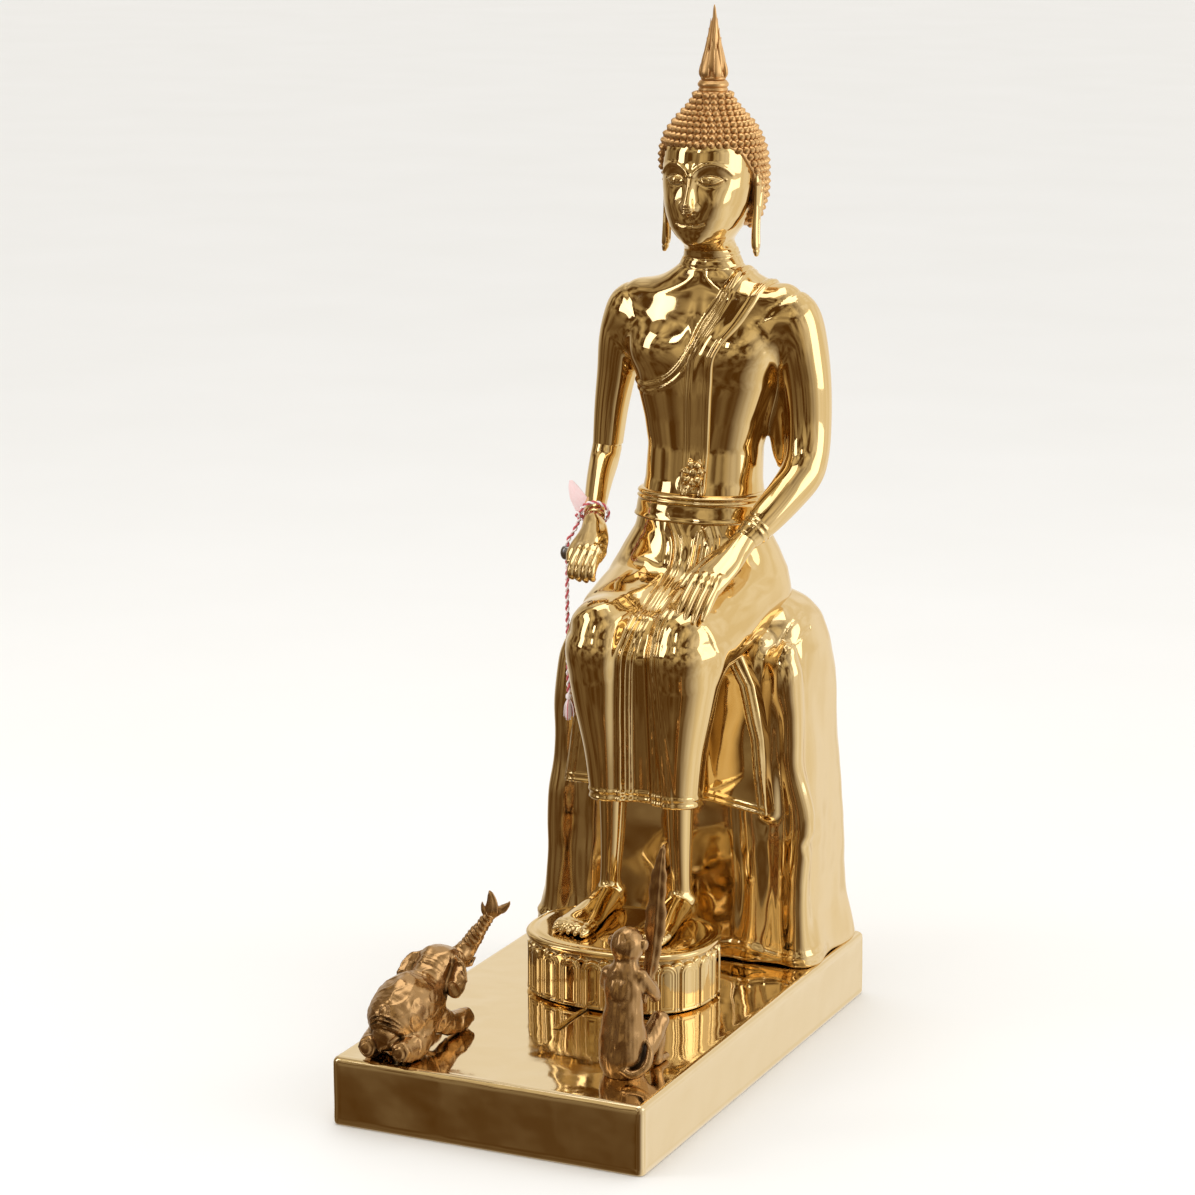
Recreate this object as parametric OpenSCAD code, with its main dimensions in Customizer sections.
// Seated brass temple figure on a rock throne, with footstool, kneeling elephant and monkey.
// Millimetres. Z is up, the figure faces -Y, the origin is the middle of the plinth's underside.

/* [Plinth] */
// Width of the plinth, left to right
base_w = 240; // [190:1:300]
// Depth of the plinth, front to back
base_d = 424; // [380:1:520]
// Height of the plinth
base_h = 50; // [36:1:70]
// Thickness of the plinth's cast walls and top
base_wall = 6; // [4:0.5:9]
// Rounding of the plinth's corners and upper edge
base_round = 5; // [2:0.5:8]

/* [Figure] */
// Height of the whole statue from the table to the flame's tip
statue_h = 762; // [620:1:920]
// Distance of the figure to the right of the plinth's middle
figure_x = 7; // [-10:1:12]
// Wall thickness of the hollow castings
cast_wall = 5; // [3.5:0.5:7]

/* [Footstool] */
// Half width of the footstool drum
stool_rx = 68; // [56:1:80]
// Half depth of the footstool drum
stool_ry = 53; // [45:1:60]
// Lotus petals round the drum
petal_count = 22; // [14:1:30]

/* [Fixings] */
// Diameter of the rod that ties the figure and rock to the plinth
tie_rod_d = 10; // [8:1:14]
// Diameter of the studs that hold the rock, stool and animals
stud_d = 6; // [4:1:8]
// Diameter of the dowels inside the neck, arms and hands
dowel_d = 8; // [6:1:10]
// Diameter of the peg under the lift-off flame
peg_d = 8; // [6:0.5:9]
// Clearance on radius between that peg and its collar
peg_gap = 0.05; // [0.02:0.01:0.09]

/* [Hidden] */
$fn = 48;
k = (statue_h - base_h) / 712;
side = base_w / 240 / k;
seam = 0.01;
nominal_back = 216;
nominal_front = 208;
nominal_top = 50;

// ---------- shape helpers ----------

function way(v) = v < 0 ? -1 : 1;
function unit(v) = v / norm(v);

// One level section of a loft: squared oval of half sizes rx, ry and squareness p.
function level_ring(s, n) =
    [for (i = [0:n - 1])
        let (c = cos(360 * i / n), d = sin(360 * i / n))
        [s[0] + s[3] * way(c) * pow(abs(c), 2 / s[5]),
         s[1] + s[4] * way(d) * pow(abs(d), 2 / s[5]),
         s[2]]];

// Direction of a path at station i.
function path_way(p, i) =
    let (a = max(i - 1, 0), b = min(i + 1, len(p) - 1))
    unit([p[b][0] - p[a][0], p[b][1] - p[a][1], p[b][2] - p[a][2]]);

// One section square to a path: oval of half sizes r1 (nearest to the across direction) and r2.
function path_ring(p, i, n, across) =
    let (t = path_way(p, i),
         u = unit(across - (across * t) * t),
         v = cross(t, u))
    [for (j = [0:n - 1])
        [p[i][0], p[i][1], p[i][2]]
        + u * p[i][3] * cos(360 * j / n) + v * p[i][4] * sin(360 * j / n)];

// Closed skin over a stack of rings.
module skin(rings) {
    n = len(rings[0]);
    m = len(rings);
    points = [for (r = rings) for (q = r) q];
    bottom = [[for (i = [0:n - 1]) i]];
    top = [[for (i = [0:n - 1]) m * n - 1 - i]];
    wall = [for (j = [0:m - 2]) for (i = [0:n - 1]) for (h = [0, 1])
        let (a = j * n + i, b = j * n + (i + 1) % n, c = b + n, d = a + n)
        h == 0 ? [a, d, c] : [a, c, b]];
    polyhedron(points = points, faces = concat(bottom, wall, top), convexity = 8);
}

// Loft through level sections [x, y, z, rx, ry, squareness].
module loft(s, n = 28) {
    skin([for (a = s) level_ring(a, n)]);
}

// Limb along a path of stations [x, y, z, r1, r2].
module limb(p, n = 16, across = [1, 0, 0]) {
    skin([for (i = [0:len(p) - 1]) path_ring(p, i, n, across)]);
}

// The same stations drawn in by w, for the inside of a casting.
function thinner(s, w) = [for (a = s) [a[0], a[1], a[2], a[3] - w, a[4] - w, a[5]]];

// The figure and throne are laid out from the plinth's back edge and top.
module figure_frame() {
    translate([figure_x, base_d / 2, base_h])
        scale(k)
            translate([0, -nominal_back, -nominal_top])
                children();
}

// The rock is laid out on the plinth's middle and follows its width.
module rock_frame() {
    translate([0, base_d / 2, base_h])
        scale(k)
            translate([0, -nominal_back, -nominal_top])
                children();
}

// The animals are laid out from the plinth's front corners.
module elephant_frame() {
    translate([-base_w / 2 + 120, -base_d / 2 + nominal_front, base_h - nominal_top])
        children();
}

module monkey_frame() {
    translate([base_w / 2 - 120, -base_d / 2 + nominal_front, base_h - nominal_top])
        children();
}

// ---------- plinth ----------

module rounded_block(w, d, h, r) {
    translate([-w / 2 + r, -d / 2, 0]) cube([w - 2 * r, d, h - r]);
    translate([-w / 2, -d / 2 + r, 0]) cube([w, d - 2 * r, h - r]);
    translate([-w / 2 + r, -d / 2 + r, 0]) cube([w - 2 * r, d - 2 * r, h]);
    for (x = [-1, 1]) for (y = [-1, 1]) {
        translate([x * (w / 2 - r), y * (d / 2 - r), 0]) cylinder(r = r, h = h - r);
        translate([x * (w / 2 - r), y * (d / 2 - r), h - r]) sphere(r = r);
    }
    for (x = [-1, 1])
        translate([x * (w / 2 - r), d / 2 - r, h - r]) rotate([90, 0, 0])
            cylinder(r = r, h = d - 2 * r);
    for (y = [-1, 1])
        translate([-w / 2 + r, y * (d / 2 - r), h - r]) rotate([0, 90, 0])
            cylinder(r = r, h = w - 2 * r);
}

// Places of the studs that come down through the plinth's top.
rock_stud_at = [for (x = [-0.78, 0.78]) for (y = [126, 192]) [x * 104 * side, y]];
stool_stud_at = [[-34, 8], [34, 8]];
elephant_stud_at = [[-78, -186], [-76, -158]];
monkey_stud_at = [[80, -152]];

module stud_bars(d, z0, z1) {
    rock_frame() for (q = rock_stud_at) translate([q[0], q[1], 0])
        stud_bar(d / k, z0, z1);
    figure_frame() for (q = stool_stud_at) translate([q[0], q[1], 0])
        stud_bar(d / k, z0, z1);
    elephant_frame() for (q = elephant_stud_at) translate([q[0], q[1], 0])
        translate([0, 0, nominal_top + z0]) cylinder(d = d, h = z1 - z0);
    monkey_frame() for (q = monkey_stud_at) translate([q[0], q[1], 0])
        translate([0, 0, nominal_top + z0]) cylinder(d = d, h = z1 - z0);
}

module stud_bar(d, z0, z1) {
    translate([0, 0, nominal_top + z0 / k]) cylinder(d = d, h = (z1 - z0) / k);
}

module base_plinth() {
    color([0.83, 0.66, 0.30])
    difference() {
        rounded_block(base_w, base_d, base_h, base_round);
        translate([0, 0, -1])
            rounded_block(base_w - 2 * base_wall, base_d - 2 * base_wall,
                          base_h - base_wall + 1, 3);
        stud_bars(stud_d + 0.6, -base_wall - 1, 1);
        figure_frame() translate([0, 152, nominal_top - (base_wall + 1) / k])
            cylinder(d = (tie_rod_d + 1) / k, h = (base_wall + 2) / k);
    }
}

// ---------- rock throne ----------

rock_levels = [
    [0, 159, 50, 118 * side, 55, 9], [0, 159, 62, 117 * side, 54.5, 8],
    [0, 160, 84, 112 * side, 53, 7], [0, 160, 112, 108 * side, 53, 6],
    [1, 159, 150, 104 * side, 54, 6], [2, 159, 190, 102 * side, 53, 5],
    [3, 158, 230, 100 * side, 52, 5], [4, 158, 265, 98 * side, 51, 5],
    [5, 158, 290, 96 * side, 48, 4], [5, 160, 310, 90 * side, 42, 3.5],
    [6, 162, 322, 78 * side, 34, 3], [6, 163, 328, 62 * side, 24, 2.6]];

module rock_lobe(x, y, z1, r) {
    loft([[x * side, y, 52, r * 0.8, r * 0.7, 2.4], [x * side, y, 120, r * 0.9, r * 0.8, 2.4],
          [x * side, y, 200, r, r, 2.4], [x * side, y, z1 - 30, r, r, 2.4],
          [x * side, y + 1, z1 - 12, r * 0.9, r * 0.9, 2.2], [x * side, y + 3, z1 - 3, r * 0.6, r * 0.6, 2],
          [x * side, y + 4, z1, r * 0.2, r * 0.2, 2]], 14);
}

module rock_solid() {
    loft(rock_levels, 40);
    rock_lobe(72, 112, 302, 13);
    rock_lobe(92, 113, 300, 12);
    rock_lobe(-82, 113, 292, 14);
    loft([[60 * side, 104, 51, 40 * side, 8, 3], [60 * side, 105, 58, 36 * side, 6, 3],
          [60 * side, 108, 64, 30 * side, 3, 3]], 20);
}

module rock_throne() {
    color([0.78, 0.60, 0.28])
    difference() {
        rock_frame() rock_solid();
        rock_frame() loft(rock_hollow(), 28);
        figure_frame() {
            lower_body_solid();
            tie_rod_hole();
            translate([0, 0, -seam]) stool_drum(1);
        }
        stud_bars(stud_d, -1, 22);
    }
}

function rock_hollow() =
    let (w = cast_wall / k)
    [[0, 159, 49, 117 * side - w - 24, 55 - w, 5], [0, 160, 75, 111 * side - w - 24, 53 - w, 5],
     [1, 159, 150, 103 * side - w, 51 - w - 2, 5], [3, 158, 230, 99 * side - w, 50 - w - 2, 5],
     [4, 158, 268, 97 * side - w - 3, 48 - w - 4, 4], [5, 158, 285, 92 * side - w - 8, 40 - w, 4]];

// ---------- footstool ----------

stool_x = 0;
stool_y = 10;
stool_top = 97;
plate_h = 6;

module stool_drum(grow) {
    loft([[stool_x, stool_y, 50, stool_rx + grow, stool_ry + grow, 2.4],
          [stool_x, stool_y, stool_top - plate_h, stool_rx + grow, stool_ry + grow, 2.4]], 44);
}

// One upright petal standing on the drum's wall.
module petal(a, z0, z1, w) {
    c = cos(a);
    d = sin(a);
    x = stool_x + stool_rx * way(c) * pow(abs(c), 2 / 2.4);
    y = stool_y + stool_ry * way(d) * pow(abs(d), 2 / 2.4);
    m = (z0 + z1) / 2;
    limb([[x, y, z0, w * 0.7, 0.6], [x, y, z0 + 5, w, 2], [x, y, m, w, 3],
          [x, y, z1 - 6, w * 0.75, 2.4], [x, y, z1, w * 0.15, 0.8]],
         8, [-d * stool_rx, c * stool_ry, 0]);
}

module lotus_footstool() {
    color([0.86, 0.70, 0.34])
    difference() {
        figure_frame() difference() {
            union() {
                stool_drum(0);
                for (i = [0:petal_count - 1])
                    petal(360 * (i + 0.5) / petal_count, 53, stool_top - plate_h - 2, 7.2);
            }
            translate([0, 0, -1]) loft([
                [stool_x, stool_y, 50, stool_rx - 8, stool_ry - 8, 2.4],
                [stool_x, stool_y, stool_top - plate_h - 6, stool_rx - 8, stool_ry - 8, 2.4]], 32);
            for (q = stool_stud_at) translate([q[0], q[1], 49])
                cylinder(d = stud_d / k + 0.6, h = stool_top);
        }
    }
}

module footstool_top_plate() {
    color([0.88, 0.73, 0.38])
    figure_frame() difference() {
        loft([[stool_x, stool_y, stool_top - plate_h, stool_rx + 2, stool_ry + 2, 2.4],
              [stool_x, stool_y, stool_top - plate_h + 1.5, stool_rx + 4, stool_ry + 4, 2.4],
              [stool_x, stool_y, stool_top - 1.5, stool_rx + 4, stool_ry + 4, 2.4],
              [stool_x, stool_y, stool_top, stool_rx + 2, stool_ry + 2, 2.4]], 44);
        for (q = stool_stud_at) translate([q[0], q[1], 49])
            cylinder(d = stud_d / k, h = stool_top - 51);
    }
}

// ---------- seated body ----------

hip_levels = [
    [0, 150, 296, 54, 42, 2.4], [0, 150, 306, 62, 48, 2.4], [0, 150, 326, 67, 50, 2.4],
    [0, 150, 344, 66, 49, 2.4], [0, 151, 358, 60, 46, 2.3], [0, 152, 374, 51, 41, 2.2]];

thigh = [[34, 152, 322, 35, 34], [35, 118, 320, 34, 33], [35, 84, 312, 32, 31],
         [34, 60, 304, 29, 30], [33, 42, 299, 26, 27], [33, 28, 297, 19, 21], [33, 20, 296, 9, 10]];

robed_shin = [[33, 48, 330, 10, 10], [33, 47, 325, 20, 19], [33, 46, 314, 26, 26],
              [33, 46, 298, 28, 29], [31, 46, 264, 24.5, 26], [28, 48, 224, 19.5, 22],
              [26.5, 50, 184, 16.5, 20]];

bare_shin = [[27, 51, 192, 11, 13], [27.5, 51, 160, 9, 11], [28.5, 50, 130, 7.6, 9],
             [29, 49, 114, 8, 9.5], [29, 48, 98, 10, 12]];

foot = [[29, 66, 106, 5, 7], [29, 60, 106, 10, 10], [29, 44, 107, 11.5, 11], [29, 22, 104.5, 13.5, 8],
        [29.5, 2, 102.5, 15.5, 5.5], [30, -14, 101.5, 16, 4.6], [30, -20, 101, 12, 3.5]];

module toe(i) {
    x = 30 - 13 + 6.3 * i;
    limb([[x, -10, 101, 3.4, 4], [x, -18, 101, 3.4, 3.8], [x, -23 + 1.4 * i, 100.6, 3, 3],
          [x, -26 + 1.4 * i, 100, 1.2, 1.4]], 8);
}

module leg() {
    limb(thigh, 22);
    limb(robed_shin, 22);
    limb(bare_shin, 16);
    limb(foot, 16);
    for (i = [0:4]) toe(i);
}

module lower_body_solid() {
    loft(hip_levels, 32);
    intersection() {
        union() {
            leg();
            mirror([1, 0, 0]) leg();
        }
        translate([-100, -60, stool_top]) cube([200, 300, 300]);
    }
    loft([[0, 54, 184, 32, 19, 3], [0, 52, 220, 34, 21, 3], [0, 49, 260, 37, 23, 3],
          [0, 49, 298, 38, 25, 3], [0, 52, 314, 36, 22, 3], [0, 56, 326, 30, 16, 2.4]], 24);
    limb([[0, 150, 322, 44, 34], [0, 120, 322, 44, 31], [0, 90, 320, 42, 26], [0, 60, 312, 38, 20]],
         20);
}

module tie_rod_hole() {
    translate([0, 152, nominal_top - 1]) cylinder(d = (tie_rod_d + 1) / k, h = 262);
}

module lower_body() {
    color([0.85, 0.66, 0.28])
    figure_frame() difference() {
        lower_body_solid();
        loft([[0, 150, 308, 46, 36, 2.4], [0, 150, 340, 58, 42, 2.4], [0, 151, 358, 54, 40, 2.3],
              [0, 152, 375, 45, 35, 2.2]], 28);
        limb([[33, 140, 320, 24, 22], [34, 90, 316, 24, 23], [33, 56, 300, 20, 20]], 14);
        limb([[-33, 140, 320, 24, 22], [-34, 90, 316, 24, 23], [-33, 56, 300, 20, 20]], 14);
        tie_rod_hole();
    }
}

module robe_back_panel() {
    color([0.84, 0.66, 0.30])
    difference() {
        figure_frame() loft([
            [-4, 92, 172, 84, 9, 8], [-4, 91, 180, 84, 10, 8], [-3, 94, 182, 82, 8, 8],
            [0, 95, 230, 76, 8, 8], [2, 96, 270, 66, 8, 6], [2, 98, 296, 52, 6, 4]], 32);
        rock_frame() rock_solid();
        figure_frame() lower_body_solid();
    }
}

torso_levels = [
    [0, 152, 374, 51, 41, 2.2], [0, 153, 390, 48, 38, 2.2], [0, 156, 411, 44, 35, 2.2],
    [0, 159, 436, 43, 34, 2.3], [0, 161, 456, 47, 35.5, 2.4], [0, 163, 478, 54, 38, 2.4],
    [0, 165, 500, 61, 39, 2.5], [0, 167, 520, 68, 37, 2.5], [0, 168, 536, 72, 33, 2.4],
    [0, 169, 547, 68, 29, 2.2], [0, 169, 555, 54, 26, 2.1], [0, 169, 562, 38, 24, 2],
    [0, 168, 569, 26, 22, 2], [0, 168, 576, 22, 21, 2]];

module torso_solid() {
    loft(torso_levels, 36);
}

// The chest is cast in one with the bare right upper arm and the robed left arm.
module torso() {
    color([0.87, 0.69, 0.31])
    figure_frame() difference() {
        union() {
            torso_solid();
            left_arm_solid();
            left_web();
            limb(right_upper_path, 20);
            intersection() {
                loft(thinner(torso_levels, -1.3), 36);
                chest_outline(robe_edge_outline, 100, 166);
            }
        }
        loft(concat([[0, 152, 373, 45, 35, 2.2]],
                    [for (i = [1:7]) let (a = torso_levels[i])
                        [a[0], a[1], a[2] - 4, a[3] - 6, a[4] - 6, a[5]]]), 28);
        translate([0, 168, 560]) cylinder(d = dowel_d / k, h = 30);
        right_forearm_solid();
        lower_body_solid();
        arm_dowel_bars();
    }
}

module waist_sleeve() {
    color([0.62, 0.50, 0.26])
    figure_frame() difference() {
        loft([[0, 151, 362, 48, 36.5, 2.2], [0, 152, 374, 44.2, 34.2, 2.2],
              [0, 152.8, 384, 41.9, 31.9, 2.2]], 28);
        translate([0, 0, -1]) loft([[0, 151, 362, 44, 32.5, 2.2], [0, 152, 375, 40.2, 30.2, 2.2],
              [0, 152.8, 387, 37, 27, 2.2]], 28);
    }
}

module waist_belt() {
    color([0.88, 0.71, 0.34])
    figure_frame() difference() {
        loft([[0, 151, 366, 58, 46.5, 2.3], [0, 151, 370, 59, 47.5, 2.3], [0, 151.5, 384, 55, 44.5, 2.2],
              [0, 152, 391, 53, 43.5, 2.2], [0, 152, 393, 53.5, 44, 2.2],
              [0, 153, 398, 51, 41.5, 2.2], [0, 153.5, 400, 49, 39.5, 2.2]], 36);
        torso_solid();
        lower_body_solid();
        intersection() {
            loft(torso_levels, 36);
            translate([-80, 80, 360]) cube([160, 160, 60]);
        }
    }
}

// A flat outline in the XZ plane pushed through the chest from y0 to y1.
module chest_outline(points, y0, y1) {
    translate([0, y1, 0]) rotate([90, 0, 0]) linear_extrude(y1 - y0) polygon(points);
}

sash_outline = [[46, 570], [12, 570], [8, 548], [0, 524], [-5, 504], [-5, 412],
                [17, 412], [17, 500], [24, 524], [38, 546]];

robe_edge_outline = [[-5, 505], [-18, 491], [-33, 481], [-48, 479], [-60, 482],
                     [-60, 479], [-48, 476], [-32, 478], [-16, 488], [-5, 500]];

// The folded cloth that comes over the left shoulder and hangs down the front.
module shoulder_sash() {
    color([0.89, 0.72, 0.35])
    figure_frame() difference() {
        intersection() {
            loft(thinner(torso_levels, -2.6), 36);
            union() {
                chest_outline(sash_outline, 100, 166);
                chest_outline([[46, 570], [12, 570], [10, 548], [8, 500], [34, 500], [38, 546]],
                              165.9, 230);
            }
        }
        torso_solid();
        left_arm_solid();
        translate([0, 168, 560]) cylinder(r = 24, h = 20);
    }
}

module sash_ornament() {
    color([0.90, 0.74, 0.38])
    figure_frame() difference() {
        translate([0, 2, 8]) intersection() {
            union() {
                for (x = [-1, 1]) {
                    limb([[6, 122, 405, 3.5, 3], [6 + x * 4, 118, 400, 3.5, 4],
                          [6 + x * 9, 117, 395, 3, 3.5], [6 + x * 12, 116, 390, 1.5, 2]], 8);
                    limb([[6, 122, 403, 3, 3], [6 + x * 8, 119, 401, 3, 3],
                          [6 + x * 13, 119, 400, 1.5, 1.5]], 8, [0, 1, 0]);
                }
                limb([[6, 121, 404.5, 6, 4], [6, 117.5, 398, 6, 4.5], [6, 116, 391, 4, 4],
                      [6, 115, 386, 1, 1.4]], 10);
            }
            translate([-20, 90, 384]) cube([60, 60, 20]);
        }
        torso_solid();
        translate([-60, 80, 360]) cube([130, 80, 40.5]);
    }
}

// ---------- arms and hands ----------

left_arm_path = [[58, 168, 551, 9, 10], [64, 168, 546, 16, 17], [69, 168, 534, 19, 21],
                 [74, 168, 512, 18.5, 21], [78, 168, 484, 17.5, 19], [80, 167, 456, 16.5, 18],
                 [81, 162, 434, 16, 17], [80, 153, 420, 16, 16], [75, 138, 407, 14.5, 14.5],
                 [66, 119, 391, 12.5, 12], [56, 102, 377, 10.5, 9]];

right_upper_path = [[-56, 168, 551, 9, 10], [-62, 168, 546, 15, 16], [-68, 168, 534, 18, 19],
                    [-74, 168, 512, 17, 18.5], [-78, 168, 484, 14.8, 16.5],
                    [-82, 167, 456, 12.8, 14.5], [-84, 164, 428, 11, 12.5]];

right_fore_path = [[-84, 164, 428, 11, 12.5], [-84, 156, 416, 11, 11.5], [-80, 141, 404, 10, 10],
                   [-74, 121, 391, 8.6, 8.6], [-67, 102, 380, 8, 7.6]];

module left_arm_solid() {
    limb(left_arm_path, 20);
}

// The robe that hangs between the left arm and the side.
module left_web() {
    limb([[62, 172, 520, 14, 10], [62, 171, 500, 15, 8], [62, 170, 480, 15, 6],
          [64, 168, 440, 14, 4], [66, 166, 424, 10, 3]], 14);
}

module right_forearm_solid() {
    limb(right_fore_path, 20);
}

module right_forearm() {
    color([0.86, 0.68, 0.30])
    figure_frame() difference() {
        right_forearm_solid();
        lower_body_solid();
        arm_dowel_bars();
    }
}

module finger(p) {
    limb(p, 8);
}

module right_hand_solid() {
    limb([[-67, 102, 380, 8, 7.6], [-64, 94, 375.5, 11, 7.6], [-60, 80, 369, 15, 7],
          [-57, 66, 362, 15, 6.5], [-56, 60, 359, 13, 5]], 14);
    for (i = [0:3]) {
        x = -67.5 + 6.6 * i;
        finger([[x, 68, 362, 3.6, 4], [x + 1, 56, 357, 3.5, 3.9], [x + 2, 47, 351.5, 3.3, 3.7],
                [x + 2, 42, 346, 3, 3.2], [x + 2, 39.5, 342 + i % 2, 1.4, 1.6]]);
    }
    finger([[-72, 86, 371, 4, 4], [-75, 74, 366, 3.8, 4], [-75, 62, 360, 3.4, 3.4],
            [-74, 54, 355, 1.6, 1.6]]);
}

module right_hand() {
    color([0.88, 0.71, 0.33])
    figure_frame() difference() {
        right_hand_solid();
        right_forearm_solid();
        lower_body_solid();
        arm_dowel_bars();
    }
}

module left_hand_solid() {
    limb([[56, 102, 377, 10.5, 9], [53, 92, 371, 12, 8], [49, 78, 363, 15, 7],
          [45, 64, 354, 15, 6.5], [43, 56, 349, 13, 5]], 14);
    for (i = [0:3]) {
        x = 33 + 6.6 * i;
        finger([[x, 62, 353, 3.6, 4], [x, 47, 344, 3.5, 3.8], [x - 1, 33, 333, 3.3, 3.6],
                [x - 2, 23, 320, 3, 3.2], [x - 2, 19, 311 + i % 2, 1.4, 1.6]]);
    }
    finger([[38, 84, 365, 4, 4], [31, 74, 358, 3.8, 4], [27, 63, 353, 3.4, 3.6],
            [25, 54, 348, 1.6, 1.8]]);
}

module left_hand() {
    color([0.88, 0.71, 0.33])
    figure_frame() difference() {
        left_hand_solid();
        left_arm_solid();
        lower_body_solid();
        arm_dowel_bars();
    }
}

// A dowel along a line from a to b.
module bar(a, b, d) {
    v = b - a;
    translate(a)
        rotate([0, acos(v[2] / norm(v)), atan2(v[1], v[0])])
            cylinder(d = d, h = norm(v));
}

module arm_dowel_bars() {
    bar([-83.5, 166, 442], [-83.8, 160, 421], dowel_d / k);
    bar([-69.5, 109, 384], [-65, 96, 376.6], dowel_d * 0.7 / k);
    bar([60, 109, 382.8], [54.2, 96, 373.6], dowel_d / k);
}

module arm_dowels() {
    color([0.55, 0.56, 0.58])
    figure_frame() arm_dowel_bars();
}

module neck_dowel() {
    color([0.55, 0.56, 0.58])
    figure_frame() translate([0, 168, 560]) cylinder(d = dowel_d / k, h = 30);
}

// ---------- head ----------

chin_z = 586;
crown_z = 686;
face_h = crown_z - chin_z;

head_levels = [
    [0, 168, 576, 22, 21, 2], [0, 167, 583, 20.5, 22, 2], [0, 163, 586, 17, 24, 2],
    [0, 158, 588.5, 17, 28, 2], [0, 156.5, 593, 21.5, 31.5, 2], [0, 157.5, 600, 26, 34, 2.1],
    [0, 160, 608, 29.5, 36.5, 2.1], [0, 162.5, 618, 32.5, 38, 2.1], [0, 164, 630, 34.2, 38.5, 2.1],
    [0, 165, 644, 34.8, 38.5, 2.1], [0, 166, 658, 33.8, 37, 2.1], [0, 167, 670, 29.5, 33, 2.1],
    [0, 167, 680, 21, 24, 2], [0, 167, 686, 8, 10, 2]];

ear_path = [[35, 166, 646, 2, 2], [37, 168, 642, 2.6, 6], [37.6, 169, 632, 2.6, 7],
            [37, 168.5, 620, 2.6, 6], [36.4, 167, 609, 2.8, 4.6], [36.2, 166, 598, 3, 4.6],
            [36.4, 165.5, 588, 3.2, 5], [37, 165, 582, 2.6, 4], [37.6, 164.5, 578, 1.4, 2]];

module ear() {
    limb(ear_path, 12);
}

module head_solid() {
    loft(head_levels, 40);
    ear();
    mirror([1, 0, 0]) ear();
}

nose_z = chin_z + face_h * 0.28;
brow_z = chin_z + face_h * 0.56;
eye_z = chin_z + face_h * 0.5;
lip_z = chin_z + face_h * 0.18;

module face_relief() {
    limb([[0, 128.4, brow_z + 3, 2.6, 2.4], [0, 126.2, brow_z - 4, 2.8, 3.6],
          [0, 123.6, brow_z - 14, 3.2, 4.6], [0, 120.8, nose_z + 6, 4.4, 6],
          [0, 120.4, nose_z + 2.5, 5.4, 6], [0, 122.6, nose_z, 5, 4.6],
          [0, 126, nose_z - 1, 2, 2]], 14);
    for (s = [-1, 1]) {
        translate([s * 5.2, 125.4, nose_z + 2.8]) sphere(r = 3, $fn = 16);
        limb([[s * 3, 127, brow_z, 1, 1.2], [s * 8, 127.2, brow_z + 3.2, 1.6, 2],
              [s * 15, 129.4, brow_z + 4.6, 1.6, 2], [s * 22, 133.6, brow_z + 3, 1.4, 1.8],
              [s * 27, 138.6, brow_z - 1, 0.8, 1]], 8, [0, 1, 0]);
        limb([[s * 6, 128.4, eye_z - 0.6, 0.6, 0.6], [s * 9.5, 128.6, eye_z, 2.6, 2.8],
              [s * 13.5, 129.8, eye_z + 0.2, 3.2, 3.6], [s * 17.5, 132, eye_z + 0.3, 2.6, 2.8],
              [s * 21, 134.4, eye_z, 0.7, 0.7]], 10, [0, 1, 0]);
        limb([[s * 6, 127.6, eye_z - 1.6, 0.5, 0.5], [s * 10, 126, eye_z - 2.4, 0.9, 0.8],
              [s * 13.5, 126.6, eye_z - 2.8, 0.9, 0.8], [s * 17.5, 129, eye_z - 2.2, 0.9, 0.8],
              [s * 22, 134, eye_z - 0.4, 0.5, 0.5]], 8, [0, 1, 0]);
    }
    limb([[-10, 130.4, lip_z + 1.4, 0.8, 0.7], [-6, 127.4, lip_z + 1.4, 1.8, 1.4],
          [-2.4, 125.6, lip_z + 2.2, 2.2, 1.7], [0, 125.4, lip_z + 1.6, 2.2, 1.4],
          [2.4, 125.6, lip_z + 2.2, 2.2, 1.7], [6, 127.4, lip_z + 1.4, 1.8, 1.4],
          [10, 130.4, lip_z + 1.4, 0.8, 0.7]], 10, [0, 1, 0]);
    limb([[-9, 129.8, lip_z + 0.4, 0.8, 0.7], [-5, 127.2, lip_z - 1.4, 1.9, 1.6],
          [0, 125.8, lip_z - 2, 2.3, 1.9], [5, 127.2, lip_z - 1.4, 1.9, 1.6],
          [9, 129.8, lip_z + 0.4, 0.8, 0.7]], 10, [0, 1, 0]);
    translate([0, 128.4, chin_z + 6.5]) scale(1) sphere(r = 5, $fn = 20);
}

module head() {
    color([0.88, 0.70, 0.32])
    figure_frame() difference() {
        union() {
            head_solid();
            face_relief();
        }
        loft([[0, 163, 598, 16, 20, 2], [0, 164, 620, 25, 29, 2], [0, 165, 650, 27, 30, 2],
              [0, 166, 668, 21, 24, 2], [0, 167, 676, 12, 13, 2]], 20);
        translate([0, 168, 560]) cylinder(d = dowel_d / k, h = 30);
        translate([0, 168, 660]) cylinder(d = (peg_d + 4) / k, h = 40);
    }
}

hair_levels = [
    [0, 182, 600, 24, 24, 2.1], [0, 180, 610, 32, 29, 2.1], [0, 175, 624, 37, 35, 2.2],
    [0, 171, 642, 38.5, 39.5, 2.2], [0, 169, 656, 38, 41, 2.1], [0, 168, 668, 34, 36.5, 2.1],
    [0, 168, 677, 28, 30, 2], [0, 168, 684, 21, 22.5, 2], [0, 168, 691, 15.5, 16.5, 2],
    [0, 168, 699, 11.8, 12.2, 2]];

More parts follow.
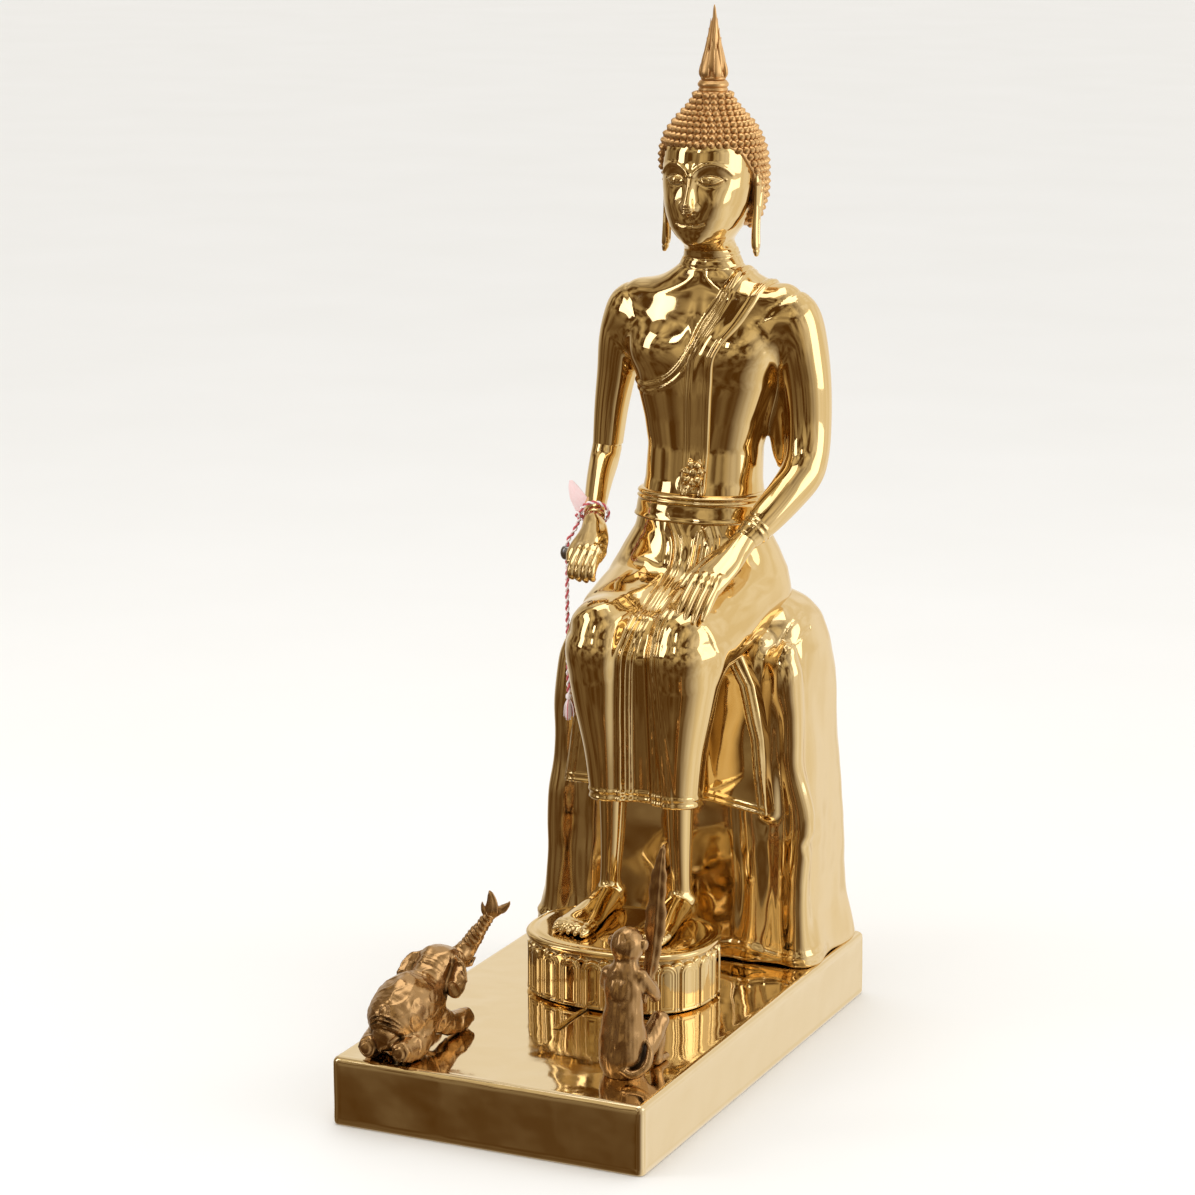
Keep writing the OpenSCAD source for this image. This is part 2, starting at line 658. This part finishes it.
// Half sizes of the hair at height z.
function hair_at(z, i = 0) =
    i >= len(hair_levels) - 2 || z <= hair_levels[i + 1][2]
        ? let (a = hair_levels[i], b = hair_levels[i + 1], t = (z - a[2]) / (b[2] - a[2]))
          [a[1] + t * (b[1] - a[1]), a[3] + t * (b[3] - a[3]), a[4] + t * (b[4] - a[4])]
        : hair_at(z, i + 1);

hairline_z = 662;

module curls() {
    for (row = [0:8]) {
        z = 620 + 9 * row;
        h = hair_at(z);
        n = round(6.28 * (h[1] + h[2]) / 2 / 10);
        for (i = [0:n - 1]) {
            a = 360 * (i + (row % 2) / 2) / n;
            if (sin(a) > -0.1 || z > hairline_z)
                translate([h[1] * cos(a), h[0] + h[2] * sin(a), z])
                    rotate([0, 0, a]) sphere(r = 3.6, $fn = 6);
        }
    }
}

module hair_cap() {
    color([0.80, 0.58, 0.30])
    figure_frame() difference() {
        union() {
            loft(hair_levels, 32);
            curls();
        }
        head_solid();
        translate([-60, 90, 560]) cube([120, 78, hairline_z - 560]);
        translate([0, 168, 660]) cylinder(d = (peg_d + 4) / k, h = 60);
        collar_blank();
    }
}

// ---------- flame ----------

collar_z = 698;
collar_h = 9;

module collar_blank() {
    translate([0, 168, collar_z]) cylinder(r = 10.5, h = collar_h);
}

module finial_collar() {
    color([0.84, 0.64, 0.30])
    figure_frame() translate([0, 168, collar_z]) difference() {
        union() {
            cylinder(r = 10.5, h = collar_h);
            translate([0, 0, 3]) cylinder(r = 11.5, h = 3);
        }
        translate([0, 0, -1]) cylinder(r = peg_d / 2 / k + peg_gap / k, h = collar_h + 2);
    }
}

flame_z = collar_z + collar_h;

module flame_solid() {
    loft([[0, 168, flame_z, 9, 9, 2], [0, 168, flame_z + 4, 10, 10, 2],
          [0, 168, flame_z + 9, 8.5, 8.5, 2], [0, 168, flame_z + 16, 7, 7, 2],
          [0, 168, flame_z + 28, 5.4, 5.4, 2], [0.6, 168, flame_z + 40, 3.6, 3.6, 2],
          [0, 168, flame_z + 49, 2, 2, 2], [0.6, 168, 762, 0.5, 0.5, 2]], 16);
    for (i = [0:4])
        rotate_about(72 * i + 18)
            limb([[8, 0, flame_z, 2, 2], [10, 0, flame_z + 5, 2.4, 3], [8.5, 0, flame_z + 13, 2, 2.6],
                  [6, 0, flame_z + 22, 1.4, 2], [6.5, 0, flame_z + 27, 0.6, 0.8]], 8);
    for (i = [0:3])
        rotate_about(90 * i + 50)
            limb([[5.5, 0, flame_z + 18, 1.6, 2], [5.6, 0, flame_z + 28, 1.6, 2],
                  [4, 0, flame_z + 38, 1, 1.4], [4.4, 0, flame_z + 43, 0.5, 0.6]], 8);
}

module rotate_about(a) {
    translate([0, 168, 0]) rotate([0, 0, a]) children();
}

module flame_finial() {
    color([0.85, 0.64, 0.28])
    figure_frame() difference() {
        intersection() {
            flame_solid();
            translate([-20, 146, flame_z]) cube([40, 44, 60]);
        }
        translate([0, 168, flame_z - 1]) cylinder(d = peg_d / k, h = 11);
    }
}

module flame_peg() {
    color([0.70, 0.56, 0.28])
    figure_frame() translate([0, 168, flame_z - 24]) cylinder(d = peg_d / k, h = 34);
}

// ---------- elephant ----------

module elephant_solid() {
    limb([[-80, -202, 68, 6, 8], [-80, -199, 70, 14, 16], [-80, -190, 74, 20, 22],
          [-79, -174, 78, 23, 26], [-78, -158, 80, 21, 25], [-77, -146, 86, 17, 20],
          [-76, -138, 92, 13, 15]], 18);
    limb([[-76, -146, 98, 9, 10], [-76, -138, 102, 14, 15], [-75, -126, 103, 14, 16],
          [-74, -116, 101, 11, 13], [-73, -108, 99, 8, 9], [-71, -102, 103, 6.5, 7],
          [-67, -98, 108, 5.8, 6.2], [-61, -97, 116, 5, 5.2], [-55, -96, 124, 4.2, 4.4],
          [-51, -96, 130, 3.6, 3.8]], 16);
    for (s = [-1, 1]) {
        limb([[-79 + s * 14, -176, 64, 9, 12], [-79 + s * 15, -188, 60, 9, 10],
              [-79 + s * 13, -200, 60, 8, 9], [-79 + s * 13, -204, 61, 7, 7.5]], 12);
        limb([[-77 + s * 13, -152, 68, 8, 10], [-76 + s * 13, -136, 60, 8, 8],
              [-75 + s * 13, -120, 58, 7.5, 7.5], [-75 + s * 13, -112, 58, 6, 6]], 12);
        limb([[-76 + s * 12, -130, 110, 2, 6], [-76 + s * 19, -138, 103, 2, 10],
              [-76 + s * 22, -144, 94, 2, 9], [-76 + s * 21, -147, 86, 1.5, 4]], 10, [0, -1, 0]);
        limb([[-74 + s * 6, -108, 94, 2, 2], [-73 + s * 8, -100, 93, 1.8, 1.8],
              [-72 + s * 8, -93, 96, 0.8, 0.8]], 8);
    }
    limb([[-80, -200, 84, 2.4, 2.4], [-81, -205, 76, 2, 2], [-82, -205.5, 64, 2.4, 2.4],
          [-82, -205, 58, 1, 1]], 8);
}

module elephant() {
    color([0.55, 0.40, 0.24])
    elephant_frame() difference() {
        intersection() {
            elephant_solid();
            translate([-118, -207, 50]) cube([110, 130, 140]);
        }
        for (q = elephant_stud_at) translate([q[0], q[1], 49]) cylinder(d = stud_d, h = 15);
    }
}

module elephant_offering() {
    color([0.66, 0.50, 0.28])
    elephant_frame() difference() {
        union() {
            limb([[-51, -96, 128, 3, 3], [-49, -96, 134, 4.8, 3.6], [-48.4, -96, 140, 3.9, 3],
                  [-50, -96, 149, 1, 1]], 10);
            limb([[-50, -95, 129, 2, 2], [-45.6, -93.4, 133.4, 3.4, 2.8], [-41.6, -92, 135.4, 3, 2.4],
                  [-37, -90.6, 141, 0.8, 0.8]], 8);
        }
        elephant_solid();
    }
}

// ---------- monkey ----------

module monkey_solid() {
    limb([[80, -151, 50, 14, 15], [80, -152, 60, 17, 17], [80, -152, 78, 16.5, 15],
          [80, -151, 98, 13.5, 12], [79, -149, 112, 14, 11.5], [79, -147, 122, 14, 10],
          [79, -146, 129, 8, 7]], 18);
    limb([[79, -146, 124, 7, 7], [79, -144, 131, 10.5, 11], [79, -143, 140, 12, 12.5],
          [79, -143, 148, 10.5, 11], [79, -143, 154, 5, 5]], 16);
    limb([[79, -134, 138, 6, 5], [79, -128, 137, 5, 4.5], [79, -125, 137, 3, 3]], 10);
    for (s = [-1, 1]) {
        limb([[80 + s * 9, -148, 62, 9, 9], [80 + s * 14, -134, 74, 8, 8],
              [80 + s * 15, -124, 82, 6.5, 6.5]], 12);
        limb([[80 + s * 15, -124, 84, 5, 5], [80 + s * 15, -125, 70, 5, 5],
              [80 + s * 14, -126, 56, 4.5, 4.5], [80 + s * 14, -120, 53, 4, 3.5],
              [80 + s * 14, -113, 52.5, 3.5, 3]], 10);
        limb([[79 + s * 13, -147, 121, 5, 5], [79 + s * 17, -139, 108, 4.6, 4.6],
              [79 + s * 14, -127, 100, 4, 4], [84 + s * 5, -120, 106, 3.6, 3.6]], 10);
        limb([[79 + s * 11, -144, 142, 2, 2.5], [79 + s * 14, -144, 142, 2, 3]], 8, [0, 1, 0]);
    }
    limb([[84, -164, 58, 3.4, 3.4], [94, -166, 56, 3, 3], [100, -160, 62, 2.6, 2.6],
          [99, -154, 70, 2.2, 2.2], [96, -151, 76, 1, 1]], 8, [0, 0, 1]);
}

module monkey() {
    color([0.56, 0.41, 0.25])
    monkey_frame() difference() {
        intersection() {
            monkey_solid();
            translate([40, -190, 50]) cube([78, 100, 120]);
        }
        for (q = monkey_stud_at) translate([q[0], q[1], 49]) cylinder(d = stud_d, h = 15);
    }
}

module monkey_branch() {
    color([0.62, 0.47, 0.27])
    monkey_frame() difference() {
        limb([[83, -121, 88, 2, 2], [85, -119, 104, 3.4, 2.6], [87, -118, 128, 5.4, 3],
              [88, -118, 152, 6.4, 3], [89, -118, 176, 5.6, 2.6], [91, -118, 194, 3.4, 1.8],
              [92, -118, 206, 0.8, 0.8]], 12);
        monkey_solid();
    }
}

// ---------- blessing string ----------

string_d = 3.4;
wrist = [-70.2, 110.6, 385];

// The loop lies square across the wrist.
module wrist_loop(d) {
    translate(wrist) rotate([118, 0, 20])
        rotate_extrude() translate([10.4, 0]) circle(d = d, $fn = 24);
}

module wrist_string() {
    color([0.90, 0.80, 0.78])
    figure_frame() difference() {
        wrist_loop(string_d);
        right_forearm_solid();
    }
}

module blessing_slip() {
    color([0.93, 0.80, 0.78])
    figure_frame() difference() {
        translate([-80, 114, 383]) rotate([80, 0, -8]) linear_extrude(0.8)
            polygon([[-8, 0], [8, 0], [6, 10], [-3, 26], [-5, 27], [-9, 12]]);
        right_forearm_solid();
        wrist_loop(string_d + 0.2);
    }
}

string_route = [[-80.5, 106, 381], [-82.5, 102, 373], [-85.2, 98, 367], [-86, 96, 362], [-86, 96, 350],
                [-86, 96, 344], [-86, 95.5, 325], [-85.5, 95, 305], [-85, 94.5, 285],
                [-84.5, 94, 265], [-84, 94, 246]];

module string_tail() {
    color([0.86, 0.30, 0.32])
    figure_frame() difference() {
        limb([for (q = string_route) [q[0], q[1], q[2], string_d / 2, string_d / 2]], 8);
        wrist_loop(string_d + 0.1);
    }
}

module string_bead() {
    color([0.45, 0.46, 0.48])
    figure_frame() translate([-86, 96, 356]) difference() {
        sphere(r = 5.2);
        translate([0, 0, -8]) cylinder(d = string_d + 0.3, h = 16);
    }
}

module string_tassel() {
    color([0.90, 0.78, 0.76])
    figure_frame()
        loft([[-84, 94, 226, 5.5, 5, 2], [-84, 94, 234, 5, 4.5, 2], [-84, 94, 242, 3, 3, 2],
              [-84, 94, 246, 2, 2, 2]], 12);
}

// ---------- hidden fixings ----------

module tie_rod() {
    color([0.60, 0.61, 0.63])
    figure_frame() translate([0, 152, nominal_top - (base_wall + 14) / k])
        cylinder(d = tie_rod_d / k, h = (base_wall + 14) / k + 274);
}

module hex_nut(d, h, bore) {
    difference() {
        cylinder(d = d, h = h, $fn = 6);
        translate([0, 0, -1]) cylinder(d = bore, h = h + 2);
    }
}

module tie_rod_nuts() {
    color([0.66, 0.67, 0.69])
    figure_frame() {
        translate([0, 152, nominal_top - (base_wall + 10) / k])
            hex_nut(tie_rod_d * 1.9 / k, 8 / k, tie_rod_d / k);
        translate([0, 152, 310]) hex_nut(tie_rod_d * 1.9 / k, 8 / k, tie_rod_d / k);
    }
}

module tie_rod_washers() {
    color([0.70, 0.71, 0.73])
    figure_frame() {
        translate([0, 152, nominal_top - (base_wall + 2) / k]) difference() {
            cylinder(d = tie_rod_d * 2.4 / k, h = 2 / k);
            translate([0, 0, -1]) cylinder(d = tie_rod_d / k, h = 4);
        }
        translate([0, 152, 308]) difference() {
            cylinder(d = tie_rod_d * 2.4 / k, h = 2);
            translate([0, 0, -1]) cylinder(d = tie_rod_d / k, h = 4);
        }
    }
}

module rock_studs() {
    color([0.60, 0.61, 0.63])
    rock_frame() for (q = rock_stud_at) translate([q[0], q[1], 0])
        stud_bar(stud_d / k, -base_wall - 8, 22);
}

module stool_studs() {
    color([0.60, 0.61, 0.63])
    figure_frame() for (q = stool_stud_at) translate([q[0], q[1], 0])
        stud_bar(stud_d / k, -base_wall - 8, (stool_top - 2 - nominal_top) * k);
}

module animal_studs() {
    color([0.60, 0.61, 0.63]) {
        elephant_frame() for (q = elephant_stud_at)
            translate([q[0], q[1], nominal_top - base_wall - 8])
                cylinder(d = stud_d, h = base_wall + 22);
        monkey_frame() for (q = monkey_stud_at)
            translate([q[0], q[1], nominal_top - base_wall - 8])
                cylinder(d = stud_d, h = base_wall + 22);
    }
}

module stud_nuts() {
    color([0.66, 0.67, 0.69]) {
        rock_frame() for (q = rock_stud_at)
            translate([q[0], q[1], nominal_top - (base_wall + 5) / k])
                hex_nut(stud_d * 1.9 / k, 5 / k, stud_d / k);
        figure_frame() for (q = stool_stud_at)
            translate([q[0], q[1], nominal_top - (base_wall + 5) / k])
                hex_nut(stud_d * 1.9 / k, 5 / k, stud_d / k);
        elephant_frame() for (q = elephant_stud_at)
            translate([q[0], q[1], nominal_top - base_wall - 5])
                hex_nut(stud_d * 1.9, 5, stud_d);
        monkey_frame() for (q = monkey_stud_at)
            translate([q[0], q[1], nominal_top - base_wall - 5])
                hex_nut(stud_d * 1.9, 5, stud_d);
    }
}

base_plinth();
rock_throne();
lotus_footstool();
footstool_top_plate();
lower_body();
robe_back_panel();
waist_belt();
waist_sleeve();
torso();
shoulder_sash();
sash_ornament();
left_hand();
right_forearm();
right_hand();
head();
hair_cap();
finial_collar();
flame_finial();
flame_peg();
elephant();
elephant_offering();
monkey();
monkey_branch();
wrist_string();
blessing_slip();
string_tail();
string_bead();
string_tassel();
tie_rod();
tie_rod_nuts();
tie_rod_washers();
rock_studs();
stool_studs();
animal_studs();
stud_nuts();
neck_dowel();
arm_dowels();
